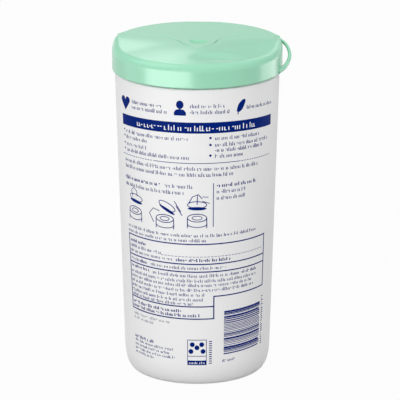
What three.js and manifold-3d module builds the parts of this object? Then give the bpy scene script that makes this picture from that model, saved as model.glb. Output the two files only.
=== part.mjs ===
// A round canister of moist wipes: a tapered plastic canister with a wide neck, a push-on cap with
// a flip lid and a hang loop, and the centre-pull roll inside.
// Millimetres, +Z up. The origin is on the canister's axis, on the surface that it stands on.
// The lid's thumb tab points to -Y, its hinge is at +Y, and the hang loop is on the +X side.

import * as THREE from 'three';
import { mergeVertices } from 'three/addons/utils/BufferGeometryUtils.js';
import Module from 'manifold-3d';

const wasm = await Module();
wasm.setup();

// Driving dimensions of the roll, which everything else is built around.
const wipeWidth = 145;
const rollRadius = 32.5;
const rollCoreRadius = 8;
const rollEdgeRound = 1.5;

// Driving dimensions of the canister.
const wall = 1.0;
const floorThickness = 1.0;
const basePanelRise = 0.8;
const standingRingWidth = 4.5;
const baseCornerRun = 4.2;
const baseCornerRise = 13;
const draftDegrees = 1.7;
const rollSideSpace = 2.5;
const rollHeadroom = 0.5;
const shoulderRound = 1.2;
const neckStep = 1.5;
const neckShown = 5.5;
const neckBead = 0.5;
const neckBeadHeight = 1.6;

// Driving dimensions of the cap and its lid.
const capHeight = 14;
const capWall = 1.3;
const skirtSpace = 1.7;
const skirtBottomRound = 0.8;
const crownRadius = 300;
const crownStart = 14;
const crownEdgeRound = 2.2;
const lidThickness = 1.5;
const lidEdgeRound = 0.7;
const deckThickness = 1.2;
const snapRingHeight = 1.4;
const plugRingDepth = 4.5;
const plugRingWall = 1.1;
const wellCentreY = 13;
const wellRadius = 10.5;
const wellDepth = 3;
const lidRingDepth = 2;
const lidRingWall = 1.0;
const orificeRadius = 4.5;
const slitLength = 3.2;
const slitWidth = 0.9;
const slitCount = 6;
const hingeFlatInset = 0.5;
const hingeFlatHeight = 4;

// The lid's front edge, from its right end at the rim round the thumb tab: half of it, mirrored.
// It runs a little past the rim, so that it cuts the rim cleanly.
const seamRimY = 10.4;
const seamOverrun = 2;
const seamPoints = [[30, 10.6], [19.5, 7.2], [11.8, 2.2], [8.8, -3.2], [6.2, -9.4], [3.2, -13.2]];
const tabTipY = -14.5;
const nailRecessWidth = 11;
const nailRecessBack = -1;
const nailRecessFront = -9.5;
const nailRecessDepth = 0.7;

// The thumb scoop in the cap's front shoulder, and the height of the ball that presses it in,
// counted in depths of the scoop.
const scoopFromRim = 9.9;
const scoopHalfWidth = 17;
const scoopHalfLength = 8;
const scoopDepth = 1.0;
const scoopBallDepths = 6;

// The hang loop: how far it stands out, and where its two roots lie round the cap, in degrees.
// Its shoulders lie between its middle and its roots, at these shares of the way up and out.
const loopReach = 3.5;
const loopTopAngle = 12.5;
const loopBottomAngle = -15;
const loopTopThickness = 1.1;
const loopBottomThickness = 2.4;
const loopWidth = 2.6;
const loopShoulderUp = 0.62;
const loopShoulderOut = 0.5;

// The clearance between pieces that seat on or fit in each other.
const gap = 0.3;

// Segments of a full turn, of an arc, of the lid's front edge, of the scoop's ball and of the loop.
const turnSegments = 48;
const arcSegments = 3;
const seamSegments = 36;
const ballSegments = 28;
const ballRings = 18;
const loopSteps = 20;
const loopSides = 8;

// Sizes that follow from the driving ones.
const floorTop = basePanelRise + floorThickness;
const rollBottom = floorTop + gap;
const rollTop = rollBottom + wipeWidth;
const shoulderTop = rollTop + rollHeadroom;
const draft = Math.tan(THREE.MathUtils.degToRad(draftDegrees));
const baseRadius = rollRadius + rollSideSpace + wall;
const wallRadius = (z) => baseRadius + z * draft;
const ringOuter = wallRadius(baseCornerRise) - baseCornerRun;
const ringInner = ringOuter - standingRingWidth;
const neckRadius = wallRadius(shoulderTop) - neckStep;
const neckInner = neckRadius - wall;
const beadRadius = neckRadius + neckBead;

const skirtBottom = shoulderTop + neckShown;
const capTop = skirtBottom + capHeight;
const capInner = neckRadius + skirtSpace;
const capRadius = capInner + capWall;
const lidUnder = capTop - lidThickness;
const deckTop = lidUnder - gap;
const deckUnder = deckTop - deckThickness;
const neckTop = deckUnder - gap;
const snapRingInner = beadRadius + gap;
const snapRingBottom = skirtBottom + skirtBottomRound;
const beadBottom = snapRingBottom + snapRingHeight + gap;
const hingeY = capRadius - hingeFlatInset;
const plugRingOuter = neckInner - gap;
const wellFloor = deckTop - wellDepth;
const crownCentreZ = capTop - crownRadius;
const scoopCentreY = scoopFromRim - capRadius;
const farOut = 2 * capRadius;

// A three.js geometry as a solid that can be joined and cut.
function solidOf(geometry) {
  const bare = geometry.clone();
  bare.deleteAttribute('normal');
  bare.deleteAttribute('uv');
  const merged = mergeVertices(bare, 1e-4);
  const corners = merged.index.array;
  const kept = [];
  for (let i = 0; i < corners.length; i += 3) {
    const [a, b, c] = [corners[i], corners[i + 1], corners[i + 2]];
    if (a !== b && b !== c && c !== a) kept.push(a, b, c);
  }
  return new wasm.Manifold(new wasm.Mesh({
    numProp: 3,
    vertProperties: new Float32Array(merged.attributes.position.array),
    triVerts: new Uint32Array(kept),
  }));
}

function meshOf(name, solid, material) {
  const { vertProperties, triVerts } = solid.getMesh();
  const geometry = new THREE.BufferGeometry();
  geometry.setAttribute('position', new THREE.BufferAttribute(vertProperties, 3));
  geometry.setIndex(new THREE.BufferAttribute(triVerts, 1));
  geometry.computeVertexNormals();
  const mesh = new THREE.Mesh(geometry, material);
  mesh.name = name;
  return mesh;
}

// A solid turned about the Z axis from a path of radius and height, which runs up the outside
// and ends where it began or on the axis.
function turned(path) {
  const geometry = new THREE.LatheGeometry(path.getPoints(arcSegments), turnSegments);
  return solidOf(geometry.rotateX(Math.PI / 2));
}

function ringPath(inner, outer, bottom, top) {
  return new THREE.Path()
    .moveTo(inner, bottom)
    .lineTo(outer, bottom)
    .lineTo(outer, top)
    .lineTo(inner, top)
    .lineTo(inner, bottom);
}

function discPath(radius, bottom, top) {
  return new THREE.Path().moveTo(0, bottom).lineTo(radius, bottom).lineTo(radius, top).lineTo(0, top);
}

function extruded(shape, bottom, top) {
  const geometry = new THREE.ExtrudeGeometry(shape, { depth: top - bottom, bevelEnabled: false });
  return solidOf(geometry.translate(0, 0, bottom));
}

function box(sizeX, sizeY, sizeZ, x, y, z) {
  return solidOf(new THREE.BoxGeometry(sizeX, sizeY, sizeZ).translate(x, y, z));
}

// An ellipsoid that dips a given depth below a height, where it measures the half width and length.
function dimple(halfWidth, halfLength, depth, surface, x, y) {
  const height = scoopBallDepths * depth;
  const spread = 1 / Math.sqrt(1 - ((height - depth) / height) ** 2);
  const ball = new THREE.SphereGeometry(1, ballSegments, ballRings);
  ball.scale(halfWidth * spread, halfLength * spread, height);
  return solidOf(ball.translate(x, y, surface + height - depth));
}

// Height of the crowned front shoulder at a distance from the axis, inside its rounded edge.
function crownHeight(radius) {
  const run = Math.max(0, radius - crownStart);
  return crownCentreZ + Math.sqrt(crownRadius ** 2 - run ** 2);
}

// The crown's section from a wall at the given radius to the axis: a rounded edge, then the crown
// itself, which lies a given depth below the cap's outside.
function crownSection(path, radius, round, depth) {
  const reach = radius - round - crownStart;
  const bend = crownRadius - depth;
  const roundZ = crownCentreZ + Math.sqrt((bend - round) ** 2 - reach ** 2);
  const meet = Math.atan2(roundZ - crownCentreZ, reach);
  return path
    .lineTo(radius, roundZ)
    .absarc(radius - round, roundZ, round, 0, meet, false)
    .absarc(crownStart, crownCentreZ, bend, meet, Math.PI / 2, false)
    .lineTo(0, capTop - depth);
}

// The lid's front edge from right to left, moved forward by an offset.
function seamEdge(offset) {
  const right = [[capRadius + seamOverrun, seamRimY], ...seamPoints];
  const left = right.map(([x, y]) => [-x, y]).reverse();
  const points = [...right, [0, tabTipY], ...left].map(([x, y]) => new THREE.Vector3(x, y, 0));
  const curve = new THREE.CatmullRomCurve3(points, false, 'centripetal');
  const edge = [];
  for (let i = 0; i <= seamSegments; i++) {
    const at = curve.getPoint(i / seamSegments);
    const along = curve.getTangent(i / seamSegments);
    edge.push(new THREE.Vector2(at.x - along.y * offset, at.y + along.x * offset));
  }
  return edge;
}

// Everything behind the lid's front edge, between two heights.
function behindSeam(offset, bottom, top) {
  const edge = seamEdge(offset);
  const outline = [
    ...edge,
    new THREE.Vector2(-farOut, edge[edge.length - 1].y),
    new THREE.Vector2(-farOut, farOut),
    new THREE.Vector2(farOut, farOut),
    new THREE.Vector2(farOut, edge[0].y),
  ];
  return extruded(new THREE.Shape(outline), bottom, top);
}

function canisterBody() {
  const innerRadius = (z) => wallRadius(z) - wall;
  const slopeShift = floorThickness * (Math.SQRT2 - 1);
  const throatZ = shoulderTop - 2 * wall - neckStep;
  const outline = new THREE.Path()
    .moveTo(0, basePanelRise)
    .lineTo(ringInner - basePanelRise, basePanelRise)
    .lineTo(ringInner, 0)
    .lineTo(ringOuter, 0)
    .absellipse(ringOuter, baseCornerRise, baseCornerRun, baseCornerRise, -Math.PI / 2, 0, false)
    .lineTo(wallRadius(shoulderTop - shoulderRound), shoulderTop - shoulderRound)
    .absarc(wallRadius(shoulderTop - shoulderRound) - shoulderRound, shoulderTop - shoulderRound,
      shoulderRound, 0, Math.PI / 2, false)
    .lineTo(neckRadius, shoulderTop)
    .lineTo(neckRadius, beadBottom)
    .lineTo(beadRadius, beadBottom + neckBead)
    .lineTo(beadRadius, beadBottom + neckBeadHeight - neckBead)
    .lineTo(neckRadius, beadBottom + neckBeadHeight)
    .lineTo(neckRadius, neckTop - wall / 2)
    .lineTo(neckRadius - wall / 2, neckTop)
    .lineTo(neckInner, neckTop)
    .lineTo(neckInner, shoulderTop - wall)
    .lineTo(innerRadius(throatZ), throatZ)
    .lineTo(innerRadius(baseCornerRise), baseCornerRise)
    .absellipse(ringOuter - wall, baseCornerRise, baseCornerRun, baseCornerRise - floorThickness,
      0, -Math.PI / 2, true)
    .lineTo(ringInner + slopeShift, floorThickness)
    .lineTo(ringInner - basePanelRise + slopeShift, floorTop)
    .lineTo(0, floorTop);
  return turned(outline);
}

function wipesRoll() {
  const outline = new THREE.Path()
    .moveTo(rollCoreRadius, rollBottom)
    .lineTo(rollRadius - rollEdgeRound, rollBottom)
    .absarc(rollRadius - rollEdgeRound, rollBottom + rollEdgeRound, rollEdgeRound, -Math.PI / 2, 0, false)
    .lineTo(rollRadius, rollTop - rollEdgeRound)
    .absarc(rollRadius - rollEdgeRound, rollTop - rollEdgeRound, rollEdgeRound, 0, Math.PI / 2, false)
    .lineTo(rollCoreRadius, rollTop)
    .lineTo(rollCoreRadius, rollBottom);
  return turned(outline);
}

// The crowned outside of the cap as one full solid, from the skirt's bottom to the crown.
function capOutside() {
  const outline = new THREE.Path()
    .moveTo(0, skirtBottom)
    .lineTo(capRadius - skirtBottomRound, skirtBottom)
    .absarc(capRadius - skirtBottomRound, skirtBottom + skirtBottomRound, skirtBottomRound,
      -Math.PI / 2, 0, false);
  return turned(crownSection(outline, capRadius, crownEdgeRound, 0));
}

// The space under the cap's roof and inside its skirt, before the deck and well are kept out of it.
function capCavity() {
  const outline = new THREE.Path()
    .moveTo(0, skirtBottom - capWall)
    .lineTo(snapRingInner, skirtBottom - capWall)
    .lineTo(snapRingInner, snapRingBottom + snapRingHeight / 2)
    .lineTo(capInner, snapRingBottom + snapRingHeight);
  return turned(crownSection(outline, capInner, crownEdgeRound - capWall, capWall));
}

// The loop is a strap of oval section on a slanting arc from the rim down to the skirt's foot.
function hangLoop() {
  const top = THREE.MathUtils.degToRad(loopTopAngle);
  const bottom = THREE.MathUtils.degToRad(loopBottomAngle);
  const rootRadius = capRadius - capWall / 2;
  const topZ = capTop - loopTopThickness;
  const bottomZ = skirtBottom + loopBottomThickness / 2;
  const middle = new THREE.Vector3(capRadius + loopReach, 0, (topZ + bottomZ) / 2);
  const topRoot = new THREE.Vector3(rootRadius * Math.cos(top), rootRadius * Math.sin(top), topZ);
  const bottomRoot = new THREE.Vector3(rootRadius * Math.cos(bottom), rootRadius * Math.sin(bottom),
    bottomZ);
  const half = topRoot.clone().sub(bottomRoot).multiplyScalar(0.5);
  const path = new THREE.CatmullRomCurve3([
    topRoot,
    middle.clone().addScaledVector(half, loopShoulderUp).setX(capRadius + loopReach * loopShoulderOut),
    middle,
    middle.clone().addScaledVector(half, -loopShoulderUp).setX(capRadius + loopReach * loopShoulderOut),
    bottomRoot,
  ], false, 'centripetal');
  const positions = [];
  const faces = [];
  for (let i = 0; i <= loopSteps; i++) {
    const at = path.getPoint(i / loopSteps);
    const along = path.getTangent(i / loopSteps);
    const across = new THREE.Vector3(1, 0, 0).addScaledVector(along, -along.x).normalize();
    const beside = along.clone().cross(across);
    const thickness = THREE.MathUtils.lerp(loopTopThickness, loopBottomThickness, i / loopSteps);
    for (let k = 0; k < loopSides; k++) {
      const turn = 2 * Math.PI * k / loopSides;
      const point = at.clone()
        .addScaledVector(across, Math.cos(turn) * thickness / 2)
        .addScaledVector(beside, Math.sin(turn) * loopWidth / 2);
      positions.push(...point);
    }
  }
  for (let i = 0; i < loopSteps; i++) {
    for (let k = 0; k < loopSides; k++) {
      const a = i * loopSides + k;
      const b = i * loopSides + (k + 1) % loopSides;
      faces.push(a, b, b + loopSides, a, b + loopSides, a + loopSides);
    }
  }
  const last = loopSteps * loopSides;
  for (let k = 1; k < loopSides - 1; k++) {
    faces.push(0, k + 1, k);
    faces.push(last, last + k, last + k + 1);
  }
  const geometry = new THREE.BufferGeometry();
  geometry.setAttribute('position', new THREE.Float32BufferAttribute(positions, 3));
  geometry.setIndex(faces);
  return solidOf(geometry);
}

// The dispensing hole and its slits, through the well's floor.
function dispensingHole() {
  const bottom = wellFloor - 2 * deckThickness;
  const top = wellFloor + wellDepth / 2;
  let hole = turned(discPath(orificeRadius, bottom, top));
  for (let i = 0; i < slitCount; i++) {
    const slit = box(slitLength * 2, slitWidth, top - bottom, orificeRadius, 0, (top + bottom) / 2);
    hole = hole.add(slit.rotate([0, 0, 360 * i / slitCount]));
  }
  return hole.translate([0, wellCentreY, 0]);
}

// A flat across the back of the rim, where the lid's hinge line lies.
function hingeFlat() {
  return box(capRadius, capRadius, capRadius, 0, hingeY + capRadius / 2,
    deckTop - hingeFlatHeight + capRadius / 2);
}

function capBase() {
  const outside = capOutside();
  const scoopSurface = crownHeight(-scoopCentreY);
  const scoop = dimple(scoopHalfWidth, scoopHalfLength, scoopDepth, scoopSurface, 0, scoopCentreY);
  const scoopBacking = scoop.translate([0, 0, -capWall]);
  const deck = behindSeam(gap + capWall, deckUnder, capTop + gap);
  const wellCup = turned(discPath(wellRadius + deckThickness, wellFloor - deckThickness, capTop))
    .translate([0, wellCentreY, 0]);
  const cavity = capCavity().subtract(deck).subtract(wellCup).subtract(scoopBacking);
  const pocket = behindSeam(gap, deckTop, capTop + gap);
  const well = turned(discPath(wellRadius, wellFloor, capTop)).translate([0, wellCentreY, 0]);
  const plugRing = turned(ringPath(plugRingOuter - plugRingWall, plugRingOuter,
    deckUnder - plugRingDepth, deckTop - gap));
  return outside
    .subtract(cavity)
    .add(plugRing)
    .subtract(pocket)
    .subtract(scoop)
    .subtract(well)
    .subtract(dispensingHole())
    .subtract(hingeFlat())
    .add(hangLoop());
}

function flipLid() {
  const edge = new THREE.Path()
    .moveTo(0, lidUnder)
    .lineTo(capRadius, lidUnder)
    .lineTo(capRadius, capTop - lidEdgeRound)
    .absarc(capRadius - lidEdgeRound, capTop - lidEdgeRound, lidEdgeRound, 0, Math.PI / 2, false)
    .lineTo(0, capTop);
  const plate = turned(edge).intersect(behindSeam(0, lidUnder - gap, capTop + gap));
  const nailShape = new THREE.Shape()
    .moveTo(nailRecessWidth / 2, nailRecessBack)
    .lineTo(-nailRecessWidth / 2, nailRecessBack)
    .absellipse(0, nailRecessBack, nailRecessWidth / 2, nailRecessBack - nailRecessFront,
      Math.PI, 2 * Math.PI, false);
  const nailRecess = extruded(nailShape, capTop - nailRecessDepth, capTop + gap);
  const ringOutside = wellRadius - gap;
  const sealRing = turned(ringPath(ringOutside - lidRingWall, ringOutside, lidUnder - lidRingDepth - gap,
    capTop - lidThickness / 2)).translate([0, wellCentreY, 0]);
  return plate.subtract(nailRecess).subtract(hingeFlat()).add(sealRing);
}

const canisterPlastic = new THREE.MeshStandardMaterial({ color: 0xececee, roughness: 0.35, metalness: 0 });
const capPlastic = new THREE.MeshStandardMaterial({ color: 0xa4dabf, roughness: 0.3, metalness: 0 });
const moistWipes = new THREE.MeshStandardMaterial({ color: 0xf6f5f1, roughness: 0.85, metalness: 0 });

const wipesCanister = new THREE.Group();
wipesCanister.add(
  meshOf('canister_body', canisterBody(), canisterPlastic),
  meshOf('cap_base', capBase(), capPlastic),
  meshOf('flip_lid', flipLid(), capPlastic),
  meshOf('wipes_roll', wipesRoll(), moistWipes),
);

export default wipesCanister;
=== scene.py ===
"""A round canister of moist wipes: a tapered white canister with dark blue print, a pale green
push-on cap with a flip lid and a hang loop, and the centre-pull roll inside. Sizes are in
millimetres until a mesh is made; patterns, lamps and the places of the camera are in metres. The
origin is on the axis, on the surface that the canister stands on."""

import math
import random

import bmesh
import bpy
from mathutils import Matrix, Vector


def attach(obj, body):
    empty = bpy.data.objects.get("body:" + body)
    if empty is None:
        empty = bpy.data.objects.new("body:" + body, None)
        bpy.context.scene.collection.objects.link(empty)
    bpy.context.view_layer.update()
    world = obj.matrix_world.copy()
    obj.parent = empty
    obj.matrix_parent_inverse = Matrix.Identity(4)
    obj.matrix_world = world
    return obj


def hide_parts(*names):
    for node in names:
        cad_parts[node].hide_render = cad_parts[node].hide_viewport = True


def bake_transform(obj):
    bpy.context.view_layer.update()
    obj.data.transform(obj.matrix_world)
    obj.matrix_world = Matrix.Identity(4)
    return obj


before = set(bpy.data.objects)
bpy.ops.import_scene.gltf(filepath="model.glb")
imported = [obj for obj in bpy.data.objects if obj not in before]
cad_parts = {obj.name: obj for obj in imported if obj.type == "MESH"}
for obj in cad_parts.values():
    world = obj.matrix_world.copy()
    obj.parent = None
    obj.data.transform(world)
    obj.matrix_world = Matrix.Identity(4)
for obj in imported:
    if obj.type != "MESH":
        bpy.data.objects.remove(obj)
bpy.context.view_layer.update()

MM = 0.001

# The canister, as in the CAD, but with its shoulder raised to just under the cap's skirt.
BASE_RADIUS = 36.0
DRAFT = math.tan(math.radians(1.7))
CANISTER_WALL = 1.0
FLOOR_THICKNESS = 1.0
BASE_PANEL_RISE = 0.8
BASE_CORNER_RUN = 4.2
BASE_CORNER_RISE = 13.0
STANDING_RING_WIDTH = 4.5
STANDING_RING_ROUND = 0.4
WALL_LEVELS = (20, 40, 80, 120, 148)
SHOULDER_TOP = 152.6
SHOULDER_ROUND = 1.2
NECK_STEP = 1.65
NECK_TOP = 163.8
NECK_BEAD = 0.5
NECK_BEAD_HEIGHT = 1.6
MOUTH_ROUND = 0.4

# The roll of wipes, as in the CAD.
ROLL_RADIUS = 32.5
ROLL_CORE_RADIUS = 8.0
ROLL_BOTTOM = 2.1
ROLL_TOP = 147.1
ROLL_EDGE_ROUND = 1.5
ROLL_END_RINGS = 64
CORE_SINK = 1.2
CORE_SINK_WIDTH = 6.0
TURN_PITCH = 1.9
TURN_CREASE = 0.45
TURN_WANDER = 0.12

# The cap and its lid, as in the CAD, but with the crown in front of the lid bowed down, and with
# the lid's front edge and the scoop drawn as they lie in the photograph.
GAP = 0.3
NECK_CLEARANCE = 1.7
SKIRT_BOTTOM = 153.1
CAP_TOP = 167.1
CAP_WALL = 1.3
FRONT_EDGE_ROUND = 3.8
FRONT_DROP = 2.1
FRONT_BOW = 1.5
FRONT_ROOF = 0.9
FRONT_EASE = 13.0
CORNER_EASE = 34.0
CROWN_RINGS = 34
EDGE_STEPS = 12
EDGE_TURN = math.radians(88)
SKIRT_FOOT_ROUND = 0.8
SKIRT_FOOT_FLAT = 0.3
SNAP_RING_HEIGHT = 1.4
SNAP_LEAD_IN = 0.3
LID_THICKNESS = 1.5
DECK_THICKNESS = 1.2
PLUG_RING_DEPTH = 4.5
PLUG_RING_WALL = 1.1
WELL_CENTRE = (0.0, 13.0)
WELL_RADIUS = 10.5
WELL_DEPTH = 3.0
WELL_CORNER_ROUND = 0.8
WELL_LIP_ROUND = 0.4
LID_RING_DEPTH = 2.0
LID_RING_WALL = 1.0
LID_RING_LEAD_IN = 0.3
ORIFICE_RADIUS = 4.5
SLIT_LENGTH = 3.2
SLIT_WIDTH = 0.9
SLIT_COUNT = 6
HINGE_FLAT_INSET = 0.5
HINGE_FLAT_HEIGHT = 4.0
HINGE_WEB_WIDTH = 11.0
HINGE_WEB_THICKNESS = 0.4
HINGE_WEB_REACH = 1.1
HINGE_WEB_ROOT = 0.05
HINGE_WEB_GROOVE = 0.35
HINGE_WEB_THINNING = 0.5
LID_RIM_ROUND = 1.3
LID_ROUND_STEPS = 6
LID_FLAT_START = 1.3
LID_RIM_STEPS = 150
LID_CORNER_STEPS = 2
LID_GROWTH_STEPS = 7
SEAM_EDGE_ROUND = 0.35
SEAM_GAP = 0.42
SEAM_STEPS = 144
SEAM_CORNER_CLEAR = 0.8
SEAM_END_RIGHT = 11.0
SEAM_END_LEFT = 12.3
SEAM_KNOTS = [
    (42.0, SEAM_END_RIGHT), (33.0, 11.1), (25.5, 11.0), (18.5, 9.8), (12.6, 6.0), (9.8, 1.6),
    (8.4, -4.0), (6.0, -9.6), (2.1, -13.4), (-2.8, -11.0), (-6.9, -4.6), (-10.6, 2.2),
    (-15.6, 7.2), (-21.0, 10.6), (-27.0, 12.2), (-34.5, 12.4), (-42.0, SEAM_END_LEFT),
]
NAIL_RECESS_X = 0.8
NAIL_RECESS_HALF_WIDTH = 4.9
NAIL_RECESS_BACK = 1.4
NAIL_RECESS_FRONT = -8.4
NAIL_RECESS_DEPTH = 1.0
NAIL_RECESS_SLOPE = 0.65
NAIL_RECESS_WALL = 0.35
SCOOP_CENTRE = (11.0, -28.4)
SCOOP_HALF_WIDTH = 15.0
SCOOP_HALF_LENGTH = 8.0
SCOOP_DEPTH = 0.8
LOOP_REACH = 3.5
LOOP_TOP_ANGLE = math.radians(12.5)
LOOP_BOTTOM_ANGLE = math.radians(-15)
LOOP_TOP_THICKNESS = 1.1
LOOP_BOTTOM_THICKNESS = 2.4
LOOP_WIDTH = 2.6
LOOP_SHOULDER_UP = 0.62
LOOP_SHOULDER_OUT = 0.5
LOOP_STEPS = 56
LOOP_SIDES = 20

# The print: arc lengths are measured at this radius from the middle of the print. Its lines bend
# a little towards the sides, down above the level height and up below it.
PRINT_RADIUS = 38.0
PRINT_DROOP = 1.22e-5
PRINT_LEVEL_HEIGHT = 74.0
INK_LIFT = 0.05
OVERPRINT_LIFT = 0.09
INK_ROOT = 0.03
INK_STEP = 1.5
BOX_WEIGHT = 0.6
DRAWING_WEIGHT = 0.42
THIN_DRAWING_WEIGHT = 0.4

# Segments of a full turn, of the well's turn, and of a quarter turn of a small round. The angle
# in degrees is the least one at which an edge is drawn sharp.
TURN_SEGMENTS = 192
WELL_SEGMENTS = 96
ROUND_STEPS = 7
SHARP_ANGLE = 32

# The camera of the photograph, with its lens and sensor in millimetres, and its places and the
# size of the studio floor in metres.
CAMERA_LENS = 276.2
CAMERA_SENSOR = 36
CAMERA_PLACE = (0.06387, -1.46298, 0.5232)
CAMERA_AIM = (0, 0, 0.08545)
CAMERA_TURN = math.radians(2.5)
CAMERA_SIDESTEP = 0.001345
FLOOR_HALF_SIDE = 4.0

# Sizes that follow from the ones above.
SLOPE_SHIFT = FLOOR_THICKNESS * (math.sqrt(2) - 1)


def wall_radius(height):
    return BASE_RADIUS + height * DRAFT


RING_OUTER = wall_radius(BASE_CORNER_RISE) - BASE_CORNER_RUN
RING_INNER = RING_OUTER - STANDING_RING_WIDTH
FLOOR_TOP = BASE_PANEL_RISE + FLOOR_THICKNESS
NECK_RADIUS = wall_radius(SHOULDER_TOP) - NECK_STEP
NECK_INNER = NECK_RADIUS - CANISTER_WALL
BEAD_RADIUS = NECK_RADIUS + NECK_BEAD
CAP_INNER = NECK_RADIUS + NECK_CLEARANCE
CAP_RADIUS = CAP_INNER + CAP_WALL
LID_UNDER = CAP_TOP - LID_THICKNESS
DECK_TOP = LID_UNDER - GAP
DECK_UNDER = DECK_TOP - DECK_THICKNESS
SNAP_RING_INNER = BEAD_RADIUS + GAP
SNAP_RING_BOTTOM = SKIRT_BOTTOM + SKIRT_FOOT_ROUND
BEAD_BOTTOM = SNAP_RING_BOTTOM + SNAP_RING_HEIGHT + GAP
HINGE_Y = CAP_RADIUS - HINGE_FLAT_INSET
WELL_FLOOR = DECK_TOP - WELL_DEPTH
SCOOP_LOWEST = DECK_UNDER - 2
PLUG_RING_OUTER = NECK_INNER - GAP
SEAM_END_TURN = math.pi / 2 + math.asin(SEAM_END_RIGHT / CAP_RADIUS)


# Materials

def srgb(code):
    """An sRGB hex colour as the linear colour that a shader takes."""
    parts = [int(code[i:i + 2], 16) / 255 for i in (1, 3, 5)]
    linear = [p / 12.92 if p <= 0.04045 else ((p + 0.055) / 1.055) ** 2.4 for p in parts]
    return (*linear, 1.0)


def add(tree, kind, settings=None, links=None):
    """A node in a tree, with its settings and with the outputs that feed its inputs."""
    node = tree.nodes.new(kind)
    for name, value in (settings or {}).items():
        if name in node.inputs:
            node.inputs[name].default_value = value
        else:
            setattr(node, name, value)
    for name, output in (links or {}).items():
        tree.links.new(output, node.inputs[name])
    return node


def new_material(name):
    material = bpy.data.materials.new(name)
    material.use_nodes = True
    material.node_tree.nodes.clear()
    return material, material.node_tree


def two_tones(tree, factor, first, second):
    """A colour between two sRGB ones, by a factor."""
    mix = add(tree, "ShaderNodeMix", {"data_type": "RGBA"})
    mix.inputs[6].default_value = srgb(first)
    mix.inputs[7].default_value = srgb(second)
    tree.links.new(factor, mix.inputs[0])
    return mix.outputs[2]


def blow_moulded_polyethylene():
    """White high-density polyethylene, blow-moulded: a soft sheen with a waxy, slightly uneven
    skin, and broad tone changes of under one part in fifty where the wall's thickness changes."""
    material, tree = new_material("blow_moulded_polyethylene")
    place = add(tree, "ShaderNodeTexCoord")
    thickness = add(tree, "ShaderNodeTexNoise", {"Scale": 1 / 0.045, "Detail": 2.0},
                    {"Vector": place.outputs["Object"]})
    # The peel of the skin is about 1.2 mm from crest to crest.
    peel = add(tree, "ShaderNodeTexNoise", {"Scale": 1 / 0.0012, "Detail": 2.0},
               {"Vector": place.outputs["Object"]})
    polish = add(tree, "ShaderNodeMapRange", {"To Min": 0.42, "To Max": 0.5},
                 {"Value": peel.outputs["Fac"]})
    skin = add(tree, "ShaderNodeBump", {"Strength": 0.12, "Distance": 0.00008},
               {"Height": peel.outputs["Fac"]})
    tone = two_tones(tree, thickness.outputs["Fac"], "#EBEBEC", "#EFEEEE")
    surface = add(tree, "ShaderNodeBsdfPrincipled", {"IOR": 1.54, "Specular IOR Level": 0.13},
                  {"Base Color": tone, "Roughness": polish.outputs["Result"],
                   "Normal": skin.outputs["Normal"]})
    add(tree, "ShaderNodeOutputMaterial", links={"Surface": surface.outputs["BSDF"]})
    return material


def injection_moulded_polypropylene():
    """Pale green polypropylene, injection-moulded in a polished mould: a clear soft-edged
    reflection, with faint flow waves that bend it a little."""
    material, tree = new_material("injection_moulded_polypropylene")
    place = add(tree, "ShaderNodeTexCoord")
    flow = add(tree, "ShaderNodeTexNoise", {"Scale": 1 / 0.03, "Detail": 1.0},
               {"Vector": place.outputs["Object"]})
    # Fine polish marks of the mould, drawn at 0.8 mm because the real ones are under 0.1 mm.
    grain = add(tree, "ShaderNodeTexNoise", {"Scale": 1 / 0.0008, "Detail": 1.0},
                {"Vector": place.outputs["Object"]})
    polish = add(tree, "ShaderNodeMapRange", {"To Min": 0.2, "To Max": 0.26},
                 {"Value": grain.outputs["Fac"]})
    waves = add(tree, "ShaderNodeBump", {"Strength": 0.1, "Distance": 0.0004},
                {"Height": flow.outputs["Fac"]})
    skin = add(tree, "ShaderNodeBump", {"Strength": 0.05, "Distance": 0.00003},
               {"Height": grain.outputs["Fac"], "Normal": waves.outputs["Normal"]})
    tone = two_tones(tree, flow.outputs["Fac"], "#93D2B2", "#98D5B7")
    surface = add(tree, "ShaderNodeBsdfPrincipled", {"IOR": 1.49},
                  {"Base Color": tone, "Roughness": polish.outputs["Result"],
                   "Normal": skin.outputs["Normal"]})
    add(tree, "ShaderNodeOutputMaterial", links={"Surface": surface.outputs["BSDF"]})
    return material


def offset_printing_ink(name, thin, full):
    """Dry-offset printing ink: a thin, matt, slightly mottled film."""
    material, tree = new_material(name)
    place = add(tree, "ShaderNodeTexCoord")
    # The film's mottle is about 0.7 mm across.
    film = add(tree, "ShaderNodeTexNoise", {"Scale": 1 / 0.0007, "Detail": 2.0},
               {"Vector": place.outputs["Object"]})
    polish = add(tree, "ShaderNodeMapRange", {"To Min": 0.4, "To Max": 0.5},
                 {"Value": film.outputs["Fac"]})
    tone = two_tones(tree, film.outputs["Fac"], thin, full)
    surface = add(tree, "ShaderNodeBsdfPrincipled", {"IOR": 1.5, "Specular IOR Level": 0.02},
                  {"Base Color": tone, "Roughness": polish.outputs["Result"]})
    add(tree, "ShaderNodeOutputMaterial", links={"Surface": surface.outputs["BSDF"]})
    return material


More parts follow.
